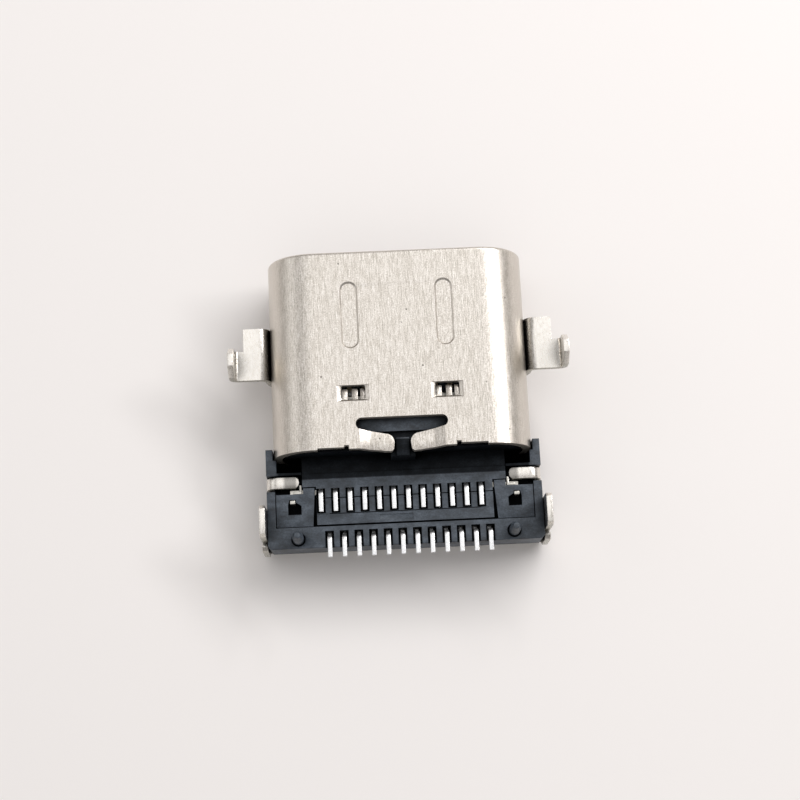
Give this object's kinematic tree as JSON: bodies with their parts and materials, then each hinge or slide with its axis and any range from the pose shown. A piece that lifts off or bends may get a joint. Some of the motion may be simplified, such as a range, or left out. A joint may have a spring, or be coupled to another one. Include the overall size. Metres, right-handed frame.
{
  "type": "usb-c socket",
  "caption": "Mid-mount board receptacle for a usb-c plug, with a drawn metal shell, a stamped bracket with board legs, a moulded base with pegs and rows of solder tails.",
  "frame": {"origin": "centre of the overall box at the bracket's flat underside, on the bench it lies on", "axes": "+Y out of the mouth, +Z away from the bench towards the face that meets the board, +X to the right when looking along +Y with the board side up"},
  "size_m": [0.0118, 0.0104, 0.0034],
  "materials": {
    "shell_steel": "satin nickel over stainless steel",
    "bracket_steel": "nickel-plated stamped steel",
    "plate_steel": "plain stamped steel",
    "contact_metal": "tinned copper alloy",
    "moulding_black": "glass-filled black moulding"
  },
  "bodies": {
    "root": {"shell": "shell_steel", "bracket": "bracket_steel", "housing": "moulding_black", "tongue": "moulding_black", "front_insulator": "moulding_black", "rear_insulator": "moulding_black", "mid_plate": "plate_steel", "ground_plate_board_side": "plate_steel", "ground_plate_far_side": "plate_steel", "front_contact_01": "contact_metal", "front_contact_02": "contact_metal", "front_contact_03": "contact_metal", "front_contact_04": "contact_metal", "front_contact_05": "contact_metal", "front_contact_06": "contact_metal", "front_contact_07": "contact_metal", "front_contact_08": "contact_metal", "front_contact_09": "contact_metal", "front_contact_10": "contact_metal", "front_contact_11": "contact_metal", "front_contact_12": "contact_metal", "rear_contact_01": "contact_metal", "rear_contact_02": "contact_metal", "rear_contact_03": "contact_metal", "rear_contact_04": "contact_metal", "rear_contact_05": "contact_metal", "rear_contact_06": "contact_metal", "rear_contact_07": "contact_metal", "rear_contact_08": "contact_metal", "rear_contact_09": "contact_metal", "rear_contact_10": "contact_metal", "rear_contact_11": "contact_metal", "rear_contact_12": "contact_metal"}
  },
  "joints": []
}
